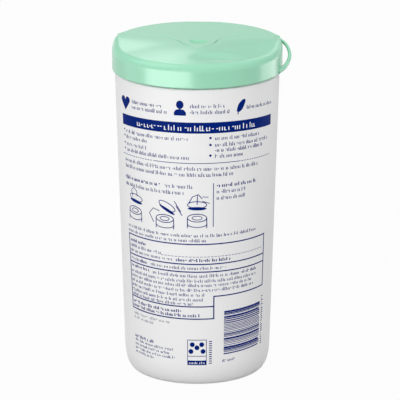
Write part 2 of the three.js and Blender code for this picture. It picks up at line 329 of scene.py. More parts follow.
def moist_nonwoven():
    """Moist viscose nonwoven: white, matt between the fibres and a little wet on them, with a
    tangle of fibres drawn at 0.5 mm because the real ones are about 0.02 mm thick."""
    material, tree = new_material("moist_nonwoven")
    place = add(tree, "ShaderNodeTexCoord")
    tangle = add(tree, "ShaderNodeTexNoise",
                 {"Scale": 1 / 0.0005, "Detail": 4.0, "Distortion": 1.5},
                 {"Vector": place.outputs["Object"]})
    wetness = add(tree, "ShaderNodeTexNoise", {"Scale": 1 / 0.006, "Detail": 2.0},
                  {"Vector": place.outputs["Object"]})
    polish = add(tree, "ShaderNodeMapRange", {"To Min": 0.5, "To Max": 0.85},
                 {"Value": wetness.outputs["Fac"]})
    fibres = add(tree, "ShaderNodeBump", {"Strength": 0.5, "Distance": 0.0002},
                 {"Height": tangle.outputs["Fac"]})
    tone = two_tones(tree, wetness.outputs["Fac"], "#E9E9E4", "#F6F5F1")
    surface = add(tree, "ShaderNodeBsdfPrincipled", {"IOR": 1.4, "Sheen Weight": 0.15},
                  {"Base Color": tone, "Roughness": polish.outputs["Result"],
                   "Normal": fibres.outputs["Normal"]})
    add(tree, "ShaderNodeOutputMaterial", links={"Surface": surface.outputs["BSDF"]})
    return material


def seen_as_white(tree, strength):
    """A factor of this strength for rays from the camera and for rays reflected or passed to
    it, and of 0 for the rays that light the object."""
    path = add(tree, "ShaderNodeLightPath")
    clear = add(tree, "ShaderNodeMath", {"operation": "MAXIMUM"})
    tree.links.new(path.outputs["Is Glossy Ray"], clear.inputs[0])
    tree.links.new(path.outputs["Is Transmission Ray"], clear.inputs[1])
    seen = add(tree, "ShaderNodeMath", {"operation": "MAXIMUM"})
    tree.links.new(path.outputs["Is Camera Ray"], seen.inputs[0])
    tree.links.new(clear.outputs[0], seen.inputs[1])
    share = add(tree, "ShaderNodeMath", {"operation": "MULTIPLY"})
    tree.links.new(seen.outputs[0], share.inputs[0])
    share.inputs[1].default_value = strength
    return share.outputs[0]


def studio_floor_paper():
    """White studio paper: seen as white, and keeping a soft part of the object's shadow."""
    material, tree = new_material("studio_floor_paper")
    paper = add(tree, "ShaderNodeBsdfDiffuse", {"Color": srgb("#949494")})
    white = add(tree, "ShaderNodeEmission", {"Color": (1.0, 1.0, 1.0, 1.0), "Strength": 1.0})
    blend = add(tree, "ShaderNodeMixShader")
    tree.links.new(seen_as_white(tree, 0.968), blend.inputs[0])
    tree.links.new(paper.outputs["BSDF"], blend.inputs[1])
    tree.links.new(white.outputs["Emission"], blend.inputs[2])
    add(tree, "ShaderNodeOutputMaterial", links={"Surface": blend.outputs["Shader"]})
    return material


# Making meshes

def finished(name, mesh, material):
    """A piece from a mesh in metres: outward faces, smooth where it is round, crisp at edges."""
    shape = bmesh.new()
    shape.from_mesh(mesh)
    bmesh.ops.remove_doubles(shape, verts=shape.verts, dist=1e-7)
    bmesh.ops.recalc_face_normals(shape, faces=shape.faces)
    shape.to_mesh(mesh)
    shape.free()
    mesh.shade_smooth()
    mesh.set_sharp_from_angle(angle=math.radians(SHARP_ANGLE))
    mesh.materials.clear()
    mesh.materials.append(material)
    piece = bpy.data.objects.new(name, mesh)
    bpy.context.scene.collection.objects.link(piece)
    weighted = piece.modifiers.new("even_shading", "WEIGHTED_NORMAL")
    weighted.keep_sharp = True
    return piece


def mesh_of(points, faces):
    """A mesh in metres from points in millimetres."""
    mesh = bpy.data.meshes.new("shape")
    mesh.from_pydata([tuple(c * MM for c in p) for p in points], [], faces)
    mesh.validate()
    shape = bmesh.new()
    shape.from_mesh(mesh)
    bmesh.ops.recalc_face_normals(shape, faces=shape.faces)
    shape.to_mesh(mesh)
    shape.free()
    return mesh


def turned(profile, centre=(0.0, 0.0), segments=TURN_SEGMENTS):
    """A solid turned about a vertical axis from a path of (radius, height). A path that touches
    the axis closes there, and any other one closes on itself."""
    points = []
    rows = []
    for radius, height in profile:
        if radius < 1e-6:
            rows.append([len(points)] * segments)
            points.append((centre[0], centre[1], height))
            continue
        rows.append([len(points) + k for k in range(segments)])
        for k in range(segments):
            angle = 2 * math.pi * k / segments
            points.append((centre[0] + radius * math.sin(angle),
                           centre[1] - radius * math.cos(angle), height))
    pairs = list(zip(rows, rows[1:]))
    if profile[0][0] > 1e-6:
        pairs.append((rows[-1], rows[0]))
    faces = []
    for low, high in pairs:
        for k in range(segments):
            after = (k + 1) % segments
            corners = [low[k], low[after], high[after], high[k]]
            face = list(dict.fromkeys(corners))
            if len(face) > 2:
                faces.append(face)
    return mesh_of(points, faces)


def stacked(rings):
    """A solid from rings of the same count of points, one above the other, closed at both ends."""
    count = len(rings[0])
    points = [p for ring in rings for p in ring]
    faces = [list(range(count)), list(range(len(points) - count, len(points)))]
    for level in range(len(rings) - 1):
        for k in range(count):
            a = level * count + k
            b = level * count + (k + 1) % count
            faces.append([a, b, b + count, a + count])
    return mesh_of(points, faces)


def block(low, high):
    """A plain block between two corners, as a cutting tool."""
    ring = [(low[0], low[1]), (high[0], low[1]), (high[0], high[1]), (low[0], high[1])]
    return stacked([[(x, y, z) for x, y in ring] for z in (low[2], high[2])])


def combined(mesh, tool, operation):
    """The mesh with a tool taken off it or added to it."""
    body = bpy.data.objects.new("work", mesh)
    cutter = bpy.data.objects.new("tool", tool)
    for item in (body, cutter):
        bpy.context.scene.collection.objects.link(item)
    step = body.modifiers.new("step", "BOOLEAN")
    step.operation = operation
    step.solver = "MANIFOLD"
    step.object = cutter
    view = bpy.context.evaluated_depsgraph_get()
    result = bpy.data.meshes.new_from_object(body.evaluated_get(view))
    for item in (body, cutter):
        bpy.data.objects.remove(item)
    return result


def quarter(centre_r, centre_z, size_r, size_z, start, end, steps=ROUND_STEPS):
    """Points of (radius, height) on an arc, with its angles in degrees."""
    found = []
    for i in range(steps + 1):
        angle = math.radians(start + (end - start) * i / steps)
        found.append((centre_r + size_r * math.cos(angle), centre_z + size_z * math.sin(angle)))
    return found


def smooth_path(knots, steps):
    """Points evenly spread over a centripetal Catmull-Rom curve through the knots."""
    knots = [Vector(k) for k in knots]
    before = knots[0] * 2 - knots[1]
    after = knots[-1] * 2 - knots[-2]
    held = [before, *knots, after]
    found = []
    for i in range(steps + 1):
        t = i / steps * (len(knots) - 1)
        k = min(int(t), len(knots) - 2)
        share = t - k
        p0, p1, p2, p3 = held[k:k + 4]
        d0 = (p1 - p0).length ** 0.5
        d1 = (p2 - p1).length ** 0.5
        d2 = (p3 - p2).length ** 0.5
        out = ((p1 - p0) / d0 - (p2 - p0) / (d0 + d1) + (p2 - p1) / d1) * d1
        into = ((p2 - p1) / d1 - (p3 - p1) / (d1 + d2) + (p3 - p2) / d2) * d1
        curve_2 = -3 * p1 + 3 * p2 - 2 * out - into
        curve_3 = 2 * p1 - 2 * p2 + out + into
        found.append(p1 + out * share + curve_2 * share ** 2 + curve_3 * share ** 3)
    return found


# The canister

def canister_profile():
    corner = wall_radius(BASE_CORNER_RISE)
    shoulder = SHOULDER_TOP - SHOULDER_ROUND
    throat = SHOULDER_TOP - 2 * CANISTER_WALL - NECK_STEP
    outside = [(0, BASE_PANEL_RISE), (RING_INNER - BASE_PANEL_RISE, BASE_PANEL_RISE)]
    outside += quarter(RING_INNER, STANDING_RING_ROUND, STANDING_RING_ROUND,
                       STANDING_RING_ROUND, 180, 270, 4)
    outside += quarter(RING_OUTER, BASE_CORNER_RISE, BASE_CORNER_RUN, BASE_CORNER_RISE, -90, 0, 28)
    outside += [(wall_radius(z), z) for z in WALL_LEVELS]
    outside += quarter(wall_radius(shoulder) - SHOULDER_ROUND, shoulder, SHOULDER_ROUND,
                       SHOULDER_ROUND, 0, 90)
    outside += [
        (NECK_RADIUS, SHOULDER_TOP),
        (NECK_RADIUS, BEAD_BOTTOM),
        (BEAD_RADIUS, BEAD_BOTTOM + NECK_BEAD),
        (BEAD_RADIUS, BEAD_BOTTOM + NECK_BEAD_HEIGHT - NECK_BEAD),
        (NECK_RADIUS, BEAD_BOTTOM + NECK_BEAD_HEIGHT),
    ]
    outside += quarter(NECK_RADIUS - MOUTH_ROUND, NECK_TOP - MOUTH_ROUND, MOUTH_ROUND,
                       MOUTH_ROUND, 0, 90, 4)
    inside = [
        (NECK_INNER, NECK_TOP),
        (NECK_INNER, SHOULDER_TOP - CANISTER_WALL),
        (wall_radius(throat) - CANISTER_WALL, throat),
        (corner - CANISTER_WALL, BASE_CORNER_RISE),
    ]
    inside += quarter(RING_OUTER - CANISTER_WALL, BASE_CORNER_RISE, BASE_CORNER_RUN,
                      BASE_CORNER_RISE - FLOOR_THICKNESS, 0, -90, 12)[1:]
    inside += [
        (RING_INNER + SLOPE_SHIFT, FLOOR_THICKNESS),
        (RING_INNER - BASE_PANEL_RISE + SLOPE_SHIFT, FLOOR_TOP),
        (0, FLOOR_TOP),
    ]
    return outside + inside


# The print

class InkLayer:
    """Thin closed films of ink that follow the canister's wall. A place is (arc, height)."""

    def __init__(self, lift, seed):
        self.lift = lift
        self.dice = random.Random(seed)
        self.points = []
        self.faces = []

    def on_wall(self, arc, height, out):
        level = height - PRINT_DROOP * (height - PRINT_LEVEL_HEIGHT) * arc * arc
        angle = arc / PRINT_RADIUS
        radius = wall_radius(level) + out
        return (radius * math.sin(angle), -radius * math.cos(angle), level)

    def film(self, pairs, closed=False):
        """A film between the two sides of a strip, each side a place of every pair."""
        start = len(self.points)
        for low, high in pairs:
            self.points.append(self.on_wall(*low, -INK_ROOT))
            self.points.append(self.on_wall(*high, -INK_ROOT))
            self.points.append(self.on_wall(*high, self.lift))
            self.points.append(self.on_wall(*low, self.lift))
        count = len(pairs)
        for i in range(count if closed else count - 1):
            a = start + 4 * i
            b = start + 4 * ((i + 1) % count)
            for k in range(4):
                after = (k + 1) % 4
                self.faces.append([a + k, a + after, b + after, b + k])
        if not closed:
            last = start + 4 * (count - 1)
            self.faces.append([start, start + 1, start + 2, start + 3])
            self.faces.append([last, last + 1, last + 2, last + 3])

    def field(self, left, right, bottom, top):
        steps = max(1, math.ceil((right - left) / INK_STEP))
        across = [left + (right - left) * i / steps for i in range(steps + 1)]
        self.film([((a, bottom), (a, top)) for a in across])

    def rule(self, left, right, height, weight=0.5):
        self.field(left, right, height - weight / 2, height + weight / 2)

    def post(self, arc, bottom, top, weight=0.5):
        self.field(arc - weight / 2, arc + weight / 2, bottom, top)

    def dashes(self, left, right, height, dash, space, weight=0.3):
        arc = left
        while arc + dash <= right:
            self.rule(arc, arc + dash, height, weight)
            arc += dash + space

    def line(self, places, weight=0.3, closed=False):
        """A line of even weight through places."""
        pairs = []
        count = len(places)
        for i, (a, h) in enumerate(places):
            if closed:
                before = places[i - 1]
                after = places[(i + 1) % count]
            else:
                before = places[max(0, i - 1)]
                after = places[min(count - 1, i + 1)]
            along = Vector((after[0] - before[0], after[1] - before[1])).normalized()
            side = Vector((-along.y, along.x)) * weight / 2
            pairs.append(((a + side.x, h + side.y), (a - side.x, h - side.y)))
        self.film(pairs, closed)

    def oval(self, arc, height, half_width, half_height, weight=0.3, tilt=0.0):
        places = []
        for k in range(24):
            turn = 2 * math.pi * k / 24
            x = half_width * math.cos(turn)
            y = half_height * math.sin(turn)
            places.append((arc + x * math.cos(tilt) - y * math.sin(tilt),
                           height + x * math.sin(tilt) + y * math.cos(tilt)))
        self.line(places, weight, closed=True)

    def disc(self, arc, height, half_width, half_height):
        pairs = []
        for k in range(13):
            turn = math.pi * (k + 0.35) / 12.7
            x = -half_width * math.cos(turn)
            y = half_height * math.sin(turn)
            pairs.append(((arc + x, height - y), (arc + x, height + y)))
        self.film(pairs)

    def words(self, left, right, height, tall, stroke=0.33, pitch=0.68):
        """A row of short plain strokes in groups, which stand for nothing."""
        foot = height - tall / 2
        arc = left
        while arc < right - stroke:
            stop = min(arc + self.dice.choice((1.4, 2.2, 3.2, 4.4, 5.4)), right)
            while arc < stop - stroke:
                rise = self.dice.choice((0.66, 0.66, 0.7, 1.0)) * tall
                shape = self.dice.random()
                if shape < 0.62:
                    self.field(arc, arc + stroke, foot, foot + rise)
                elif shape < 0.85:
                    self.field(arc, arc + pitch * 0.9, foot, foot + stroke * 0.9)
                    self.field(arc, arc + stroke, foot + stroke * 0.9, foot + rise)
                else:
                    level = foot + tall * self.dice.choice((0.3, 0.5))
                    self.field(arc, arc + pitch * 0.8, level, level + stroke)
                arc += pitch + self.dice.choice((0.0, 0.08, 0.2))
            arc += 0.75

    def heart(self, arc, top, half_width, height):
        pairs = []
        for k in range(17):
            x = -0.985 + 1.97 * k / 16
            lobe = math.sqrt(max(0.0, 1 - (2 * abs(x) - 1) ** 2))
            tip = 1 - (1 - abs(x)) ** 0.85
            pairs.append(((arc + x * half_width, top - height * (1 - 0.72 * tip)),
                          (arc + x * half_width, top - height * 0.28 * (1 - lobe))))
        self.film(pairs)

    def piece(self, name, material):
        mesh = mesh_of(self.points, self.faces)
        made = finished(name, mesh, material)
        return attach(made, "canister")


# Rules of the box: left, right, height.
BOX_RULES = [
    (-38.9, 41, 74.2), (-38.4, 41, 63.9), (-38.3, 41, 59.9), (10, 40.9, 47), (-37.5, 10, 41.8),
    (-37.3, 10.3, 35.4),
]


def print_panels():
    """The banner, rules, ruled box, stripes and plain signs, in dark blue."""
    ink = InkLayer(INK_LIFT, seed=5)
    ink.field(-41.7, 43.9, 130.7, 136.2)
    ink.dashes(-42, -20, 115.6, 1.0, 0.55)
    ink.rule(-20, 22, 115.6, 0.32)
    ink.dashes(22, 44.6, 115.6, 1.0, 0.55)
    ink.post(9.4, 83, 105.5, 0.35)
    for a, h in ((-40, 128.4), (-40, 125.3), (-40, 121.6), (-40, 118.6)):
        ink.disc(a, h, 0.5, 0.5)
    for a, h in ((7.8, 128.4), (7.8, 124.9), (7.8, 119.5)):
        ink.disc(a, h, 0.6, 0.6)
    for left, right, height in BOX_RULES:
        ink.rule(left, right, height, BOX_WEIGHT)
    ink.post(10, 35.4, 47.3, BOX_WEIGHT)
    ink.post(40.8, 46.7, 74.5, BOX_WEIGHT)
    ink.line([(-38.9, 74.5), (-38.2, 56), (-37.4, 35.1)], BOX_WEIGHT)
    ink.dashes(-16.8, 38.6, 67.7, 1.3, 0.5, 0.22)
    stripe = 16.2
    while stripe < 39.6:
        weight = ink.dice.choice((0.35, 0.35, 0.6, 0.95))
        ink.rule(15.5, 39 - ink.dice.choice((0.0, 0.0, 0.8)), stripe, weight)
        stripe += weight + ink.dice.choice((0.3, 0.42, 0.6))
    ink.heart(-38.3, 145.6, 3.9, 7.0)
    ink.disc(-6.3, 145.0, 1.75, 2.1)
    ink.film([((-9.1, 139.6), (-9.1, 141.2)), ((-8.2, 139.6), (-8.2, 142.4)),
              ((-6.3, 139.6), (-6.3, 142.9)), ((-4.4, 139.6), (-4.4, 142.4)),
              ((-3.5, 139.6), (-3.5, 141.2))])
    ink.film([((20.5, 140.9), (20.5, 142.0)), ((21.2, 140.6), (21.2, 144.4)),
              ((22.2, 140.7), (22.2, 145.6)), ((23.4, 141.8), (23.4, 146.6)),
              ((24.3, 143.6), (24.3, 146.9)), ((25.0, 145.4), (25.0, 146.7))])
    ink.line([(21.4, 140.9), (21.0, 139.4)], 0.5)
    return ink.piece("printed_panels", BLUE_INK)


def print_sign():
    """A framed sign of plain dots over a bar, with a ladder of short rules beside it."""
    ink = InkLayer(INK_LIFT, seed=6)
    ink.rule(-3.4, 6.4, 24.4, 0.3)
    ink.post(-3.3, 11.2, 24.5, 0.3)
    ink.post(6.3, 11.2, 24.5, 0.3)
    ink.field(-3.4, 6.4, 11.2, 13.6)
    ink.rule(-3.4, 6.4, 15.9, 0.3)
    for a, h in ((-0.9, 22.0), (3.9, 22.0), (-1.6, 18.4), (4.6, 18.4), (1.5, 20.4)):
        ink.disc(a, h, 1.25, 1.25)
    for k in range(11):
        ink.rule(7.7, 9.2, 12 + 1.15 * k, 0.5)
    return ink.piece("printed_sign", BLUE_INK)


# Lines round the drawings: places of arc and height, and the line's weight.
DRAWING_LINES = [
    ([(-34.5, 94.5), (-35.4, 97.6), (-33.6, 99.4), (-31.2, 97.8), (-31.0, 95.2)], 0.4),
    ([(-20.5, 84.0), (-23.0, 88.5), (-20.6, 91.2), (-17.2, 90.2)], 0.42),
    ([(-8.6, 93.6), (-5.6, 88.8)], 0.4),
    ([(-9.4, 96.0), (-6.2, 90.6)], 0.4),
    ([(-2.6, 95.0), (-0.6, 98.6), (2.2, 99.8), (4.0, 97.6)], 0.42),
    ([(1.6, 94.6), (1.8, 99.4)], 0.4),
    ([(4.2, 98.6), (7.0, 98.4)], 0.34),
    ([(4.2, 96.4), (7.6, 95.2)], 0.34),
]


def print_pictograms():
    """Three plain line drawings of an open round container."""
    ink = InkLayer(INK_LIFT, seed=7)
    for arc, height in ((-32.8, 87.6), (-14.5, 86.6), (1.6, 87.8)):
        ink.oval(arc, height, 4.6, 2.0, DRAWING_WEIGHT)
        ink.oval(arc, height, 2.4, 1.0, 0.36)
        for side in (-1, 1):
            ink.line([(arc + side * 4.6, height), (arc + side * 4.7, height - 3.4),
                      (arc + side * 4.6, height - 5.2)], DRAWING_WEIGHT)
        bow = [(arc + 4.7 * math.sin(t), height - 3.2 - 1.6 * math.cos(t))
               for t in (-1.5, -1.0, -0.5, 0.0, 0.5, 1.0, 1.5)]
        ink.line(bow, THIN_DRAWING_WEIGHT)
    for arc, height, tilt in ((-32.0, 92.4, -0.12), (-13.2, 91.2, -0.5), (1.6, 92.6, 0.0)):
        places = []
        for k in range(9):
            x = -4.5 + 9 * k / 8
            thick = 0.85 * math.sqrt(max(0.0, 1.04 - (x / 4.5) ** 2))
            cx = arc + x * math.cos(tilt)
            cy = height + x * math.sin(tilt)
            places.append(((cx, cy - thick), (cx, cy + thick)))
        ink.film(places)
        ink.oval(arc, height + 1.9, 4.6, 1.7, THIN_DRAWING_WEIGHT, tilt)
    for places, weight in DRAWING_LINES:
        ink.line(places, weight)
    return ink.piece("printed_pictograms", BLUE_INK)


# Rows of short strokes: left, right, height.
ROWS = [
    (-32.7, -14.9, 143.8), (-32.9, -11.5, 141.0), (-1.6, 14.5, 144.4), (-1.7, 17.0, 141.4),
    (25.9, 43.6, 142.6),
    (-38.4, -2.6, 127.9), (-38.4, -22.9, 125.0), (-38.0, -24.2, 121.4), (-37.8, -1.9, 118.4),
    (10, 34.8, 128.2), (10, 40.8, 124.9), (10, 37.4, 122.2), (10, 25.4, 119.2),
    (-40, 33.8, 112.9), (-40, 19.0, 109.8),
    (-14.2, -0.8, 103.7), (-40.2, -4.7, 100.5), (11, 26.5, 101.1), (11, 26.6, 97.8),
]
FINE_ROWS = [
    (-39.0, 34.7, 78.7), (-39.2, 5.8, 76.2), (-37.5, -16.8, 68.7), (-37.4, -10.5, 66.1),
    (-23.0, 16.3, 61.9), (-21.7, 35.7, 57.9), (-37.0, 35.0, 55.3), (-37.0, 32.0, 53.0),
    (-37.0, 32.9, 50.5), (-37.0, 6.2, 48.0), (-36.8, 5.8, 45.5), (-36.6, -0.5, 43.3),
]
SMALL_ROWS = [
    (-36.2, -10.6, 18.7), (-36.1, -12.8, 16.6), (-36.1, -10.0, 14.5), (-36.0, -22.5, 12.5),
    (14.8, 22.4, 12.7),
]
BOLD_ROWS = [
    (-40.5, -16.1, 103.9), (11, 32.4, 104.2),
]
FINE_BOLD_ROWS = [
    (-37.4, -25.0, 71.4), (-8.9, 19.0, 66.0), (-37.0, -24.5, 61.9), (-36.9, -23.4, 58.3),
    (-36.3, -6.2, 39.4), (-36.3, 3.0, 37.2), (-36.2, -21.5, 20.8),
]
GREY_ROWS = [(-36.1, -12.4, 33.0), (-36.1, -22.2, 30.8)]


# Each kind of row has its strokes' height, width and pitch.
ROW_KINDS = [
    (ROWS, 1.9, 0.33, 0.68), (FINE_ROWS, 1.6, 0.33, 0.68), (SMALL_ROWS, 1.35, 0.33, 0.68),
    (BOLD_ROWS, 1.9, 0.5, 0.8), (FINE_BOLD_ROWS, 1.6, 0.5, 0.8),
]


def print_rows():
    """The rows in blue, and the column of short rules beside the stripes."""
    ink = InkLayer(INK_LIFT, seed=11)
    for rows, tall, stroke, pitch in ROW_KINDS:
        for left, right, height in rows:
            ink.words(left, right, height, tall, stroke, pitch)
    for k in range(24):
        height = 15.5 + 1.1 * k
        ink.field(40.3, 40.3 + ink.dice.choice((0.5, 1.2, 1.6)), height, height + 0.45)
    return ink.piece("printed_rows", BLUE_INK)


def print_grey_rows():
    ink = InkLayer(INK_LIFT, seed=12)
    for left, right, height in GREY_ROWS:
        ink.words(left, right, height, 1.4)
    return ink.piece("printed_grey_rows", GREY_INK)


def print_banner_marks():
    """White strokes over the banner and over the sign's bar."""
    ink = InkLayer(OVERPRINT_LIFT, seed=13)
    ink.words(-29.5, 31.1, 133.3, tall=2.7, stroke=0.46, pitch=1.12)
    ink.words(-2.6, 6.0, 12.4, tall=1.2)
    return ink.piece("printed_white_marks", WHITE_INK)


# The cap

def seam_line(offset):
    """The lid's front edge from right to left, moved forward by an offset."""
    curve = smooth_path(SEAM_KNOTS, SEAM_STEPS)
    moved = []
    for i, at in enumerate(curve):
        along = (curve[min(i + 1, SEAM_STEPS)] - curve[max(i - 1, 0)]).normalized()
        moved.append((at.x - along.y * offset, at.y + along.x * offset))
    return moved


def top_section(radius, depth):
    """The cap's section from the wall over the rim to the axis, with its top flat. Each point
    comes with its angle on the rim's round, or its share of the way from the axis."""
    run = LID_RIM_ROUND - (CAP_RADIUS - radius)
    rise = LID_RIM_ROUND - depth
    section = []
    for i in range(EDGE_STEPS + 1):
        turn = EDGE_TURN * i / EDGE_STEPS
        section.append((radius - run + run * math.cos(turn),
                        CAP_TOP - depth - rise + rise * math.sin(turn), turn, None))
    for i in range(1, CROWN_RINGS + 1):
        share = 1 - i / CROWN_RINGS
        section.append(((radius - run) * share, CAP_TOP - depth, None, share))
    return section


def ahead_share(x, y, ease):
    """Grows smoothly round the rim from 0 where the lid ends to 1 in front."""
    turn = SEAM_END_TURN - math.atan2(abs(x), -y)
    share = min(1.0, max(0.0, turn * CAP_RADIUS / ease))
    return share * share * (3 - 2 * share)


def front_drop(x, y, rim, seam):
    """How far the crown falls away from the lid's level at a place in front of the seam. The
    seam's points pull on the place together, which keeps the fall smooth beside the tab."""
    pull = 0.0
    ahead = True
    for (x0, y0), (x1, y1) in zip(seam, seam[1:]):
        length = math.hypot(x1 - x0, y1 - y0)
        away = (x - (x0 + x1) / 2) ** 2 + (y - (y0 + y1) / 2) ** 2 + 1e-6
        pull += length / away ** 2
        if x1 <= x <= x0 and y > y0 + (y1 - y0) * (x - x0) / min(-1e-9, x1 - x0):
            ahead = False
    if not ahead:
        return 0.0
    gone = (math.pi / 2 / pull) ** (1 / 3)
    left = max(0.0, rim - math.hypot(x, y))
    return FRONT_DROP * (gone / (gone + left)) ** FRONT_BOW * ahead_share(x, y, CORNER_EASE)


def soften_front(mesh, radius, depth):
    """Bows the crown down in front of the seam, and rounds the rim there more generously."""
    places = {}
    for r, z, turn, share in top_section(radius, depth):
        places[(round(r, 3), round(z, 3))] = (turn, share)
    seam = seam_line(0.0)
    for vertex in mesh.vertices:
        x, y, z = vertex.co / MM
        out = math.hypot(x, y)
        place = places.get((round(out, 3), round(z, 3)))
        if place is None or out < 1:
            continue
        turn, share = place
        size = LID_RIM_ROUND
        size += (FRONT_EDGE_ROUND - LID_RIM_ROUND) * ahead_share(x, y, FRONT_EASE)
        run = size - (CAP_RADIUS - radius)
        if turn is None:
            new = (radius - run) * share
            level = CAP_TOP - depth
        else:
            new = radius - run + run * math.cos(turn)
            level = CAP_TOP - depth - (size - depth) * (1 - math.sin(turn))
        x *= new / out
        y *= new / out
        level -= front_drop(x, y, radius - run, seam)
        vertex.co = (x * MM, y * MM, level * MM)


def press_scoop(mesh):
    """Presses the thumb scoop softly into the crown in front of the tab."""
    for vertex in mesh.vertices:
        x = (vertex.co.x / MM - SCOOP_CENTRE[0]) / SCOOP_HALF_WIDTH
        y = (vertex.co.y / MM - SCOOP_CENTRE[1]) / SCOOP_HALF_LENGTH
        spread = x * x + y * y
        if spread < 1 and vertex.co.z > SCOOP_LOWEST * MM:
            vertex.co.z -= SCOOP_DEPTH * MM * (1 - spread) ** 2


def behind_seam(levels):
    """Everything behind the lid's front edge, from levels of forward offset and height, which
    is counted from the cap's top or from the standing surface."""
    far = 2 * CAP_RADIUS
    rings = []
    for offset, height, on_crown in levels:
        front = seam_line(offset)
        back = CAP_TOP if on_crown else 0.0
        ring = [(x, y, back + height) for x, y in front]
        ring.append((-far, front[-1][1], back + height))
        ring.append((-far, far, back + height))
        ring.append((far, far, back + height))
        ring.append((far, front[0][1], back + height))
        rings.append(ring)
    return stacked(rings)


def well_tool():
    """The round well in the deck, with a rounded floor corner and a softened lip."""
    corner = WELL_CORNER_ROUND
    lip = WELL_LIP_ROUND
    profile = [(0, WELL_FLOOR)]
    profile += quarter(WELL_RADIUS - corner, WELL_FLOOR + corner, corner, corner, -90, 0, 6)
    profile += quarter(WELL_RADIUS + lip, DECK_TOP - lip, -lip, lip, 0, 90, 5)
    profile += [(WELL_RADIUS + lip, CAP_TOP + 1), (0, CAP_TOP + 1)]
    return turned(profile, WELL_CENTRE, WELL_SEGMENTS)


def dispensing_hole_tool():
    """The dispensing hole with its ring of slits."""
    bottom = WELL_FLOOR - 2 * DECK_THICKNESS
    top = WELL_FLOOR + WELL_DEPTH / 2
    hole = turned([(0, bottom), (ORIFICE_RADIUS, bottom), (ORIFICE_RADIUS, top), (0, top)],
                  segments=WELL_SEGMENTS)
    for k in range(SLIT_COUNT):
        angle = 2 * math.pi * k / SLIT_COUNT
        along = Vector((math.cos(angle), math.sin(angle)))
        side = Vector((-along.y, along.x)) * SLIT_WIDTH / 2
        near = along * (ORIFICE_RADIUS - SLIT_LENGTH)
        far = along * (ORIFICE_RADIUS + SLIT_LENGTH)
        outline = [near + side, near - side, far - side, far + along * SLIT_WIDTH / 2, far + side]
        slit = stacked([[(p.x, p.y, z) for p in outline] for z in (bottom, top)])
        hole = combined(hole, slit, "UNION")
    for vertex in hole.vertices:
        vertex.co.x += WELL_CENTRE[0] * MM
        vertex.co.y += WELL_CENTRE[1] * MM
    return hole


def hinge_flat_tool():
    far = 2 * CAP_RADIUS
    return block((-far, HINGE_Y, DECK_TOP - HINGE_FLAT_HEIGHT), (far, far, CAP_TOP + 5))


def cap_mesh():
    """The cap without its lid: a shell with a deck, a well's cup and a plug ring inside it, and
    with the lid's pocket, the well, the dispensing hole and the hinge's flat cut into it."""
    foot = [(0, SKIRT_BOTTOM), (CAP_RADIUS - SKIRT_FOOT_ROUND - SKIRT_FOOT_FLAT, SKIRT_BOTTOM)]
    foot += quarter(CAP_RADIUS - SKIRT_FOOT_ROUND, SKIRT_BOTTOM + SKIRT_FOOT_ROUND,
                    SKIRT_FOOT_ROUND, SKIRT_FOOT_ROUND, -90, 0)
    outside = turned(foot + [(r, z) for r, z, turn, share in top_section(CAP_RADIUS, 0)])
    soften_front(outside, CAP_RADIUS, 0)
    press_scoop(outside)
    inner_foot = [
        (0, SKIRT_BOTTOM - CAP_WALL),
        (SNAP_RING_INNER + CAP_WALL + SNAP_LEAD_IN, SKIRT_BOTTOM - CAP_WALL),
        (SNAP_RING_INNER, SKIRT_BOTTOM + SNAP_LEAD_IN),
        (SNAP_RING_INNER, SNAP_RING_BOTTOM + SNAP_RING_HEIGHT / 2),
        (CAP_INNER, SNAP_RING_BOTTOM + SNAP_RING_HEIGHT),
    ]
    inner_top = [(r, z) for r, z, turn, share in top_section(CAP_INNER, FRONT_ROOF)]
    cavity = turned(inner_foot + inner_top)
    soften_front(cavity, CAP_INNER, FRONT_ROOF)
    press_scoop(cavity)
    deck = behind_seam([(GAP + CAP_WALL, DECK_UNDER, False), (GAP + CAP_WALL, CAP_TOP + 3, False)])
    cavity = combined(cavity, deck, "DIFFERENCE")
    cup_radius = WELL_RADIUS + DECK_THICKNESS
    cup_bottom = WELL_FLOOR - DECK_THICKNESS
    cup = turned([(0, cup_bottom), (cup_radius, cup_bottom), (cup_radius, CAP_TOP), (0, CAP_TOP)],
                 WELL_CENTRE, WELL_SEGMENTS)
    cavity = combined(cavity, cup, "DIFFERENCE")
    plug = turned([(PLUG_RING_OUTER - PLUG_RING_WALL, DECK_UNDER - PLUG_RING_DEPTH),
                   (PLUG_RING_OUTER, DECK_UNDER - PLUG_RING_DEPTH),
                   (PLUG_RING_OUTER, DECK_UNDER + GAP),
                   (PLUG_RING_OUTER - PLUG_RING_WALL, DECK_UNDER + GAP)])
    edge = SEAM_EDGE_ROUND
    pocket = behind_seam([
        (SEAM_GAP, DECK_TOP, False), (SEAM_GAP, -edge, True),
        (SEAM_GAP + 0.1 * edge, -0.56 * edge, True), (SEAM_GAP + 0.3 * edge, -0.29 * edge, True),
        (SEAM_GAP + 0.6 * edge, -0.08 * edge, True), (SEAM_GAP + edge, 0.0, True),
        (SEAM_GAP + edge + 1.5, 1.0, True),
    ])
    cap = combined(outside, cavity, "DIFFERENCE")
    cap = combined(cap, plug, "UNION")
    for tool in (pocket, well_tool(), dispensing_hole_tool(), hinge_flat_tool()):
        cap = combined(cap, tool, "DIFFERENCE")
    return cap


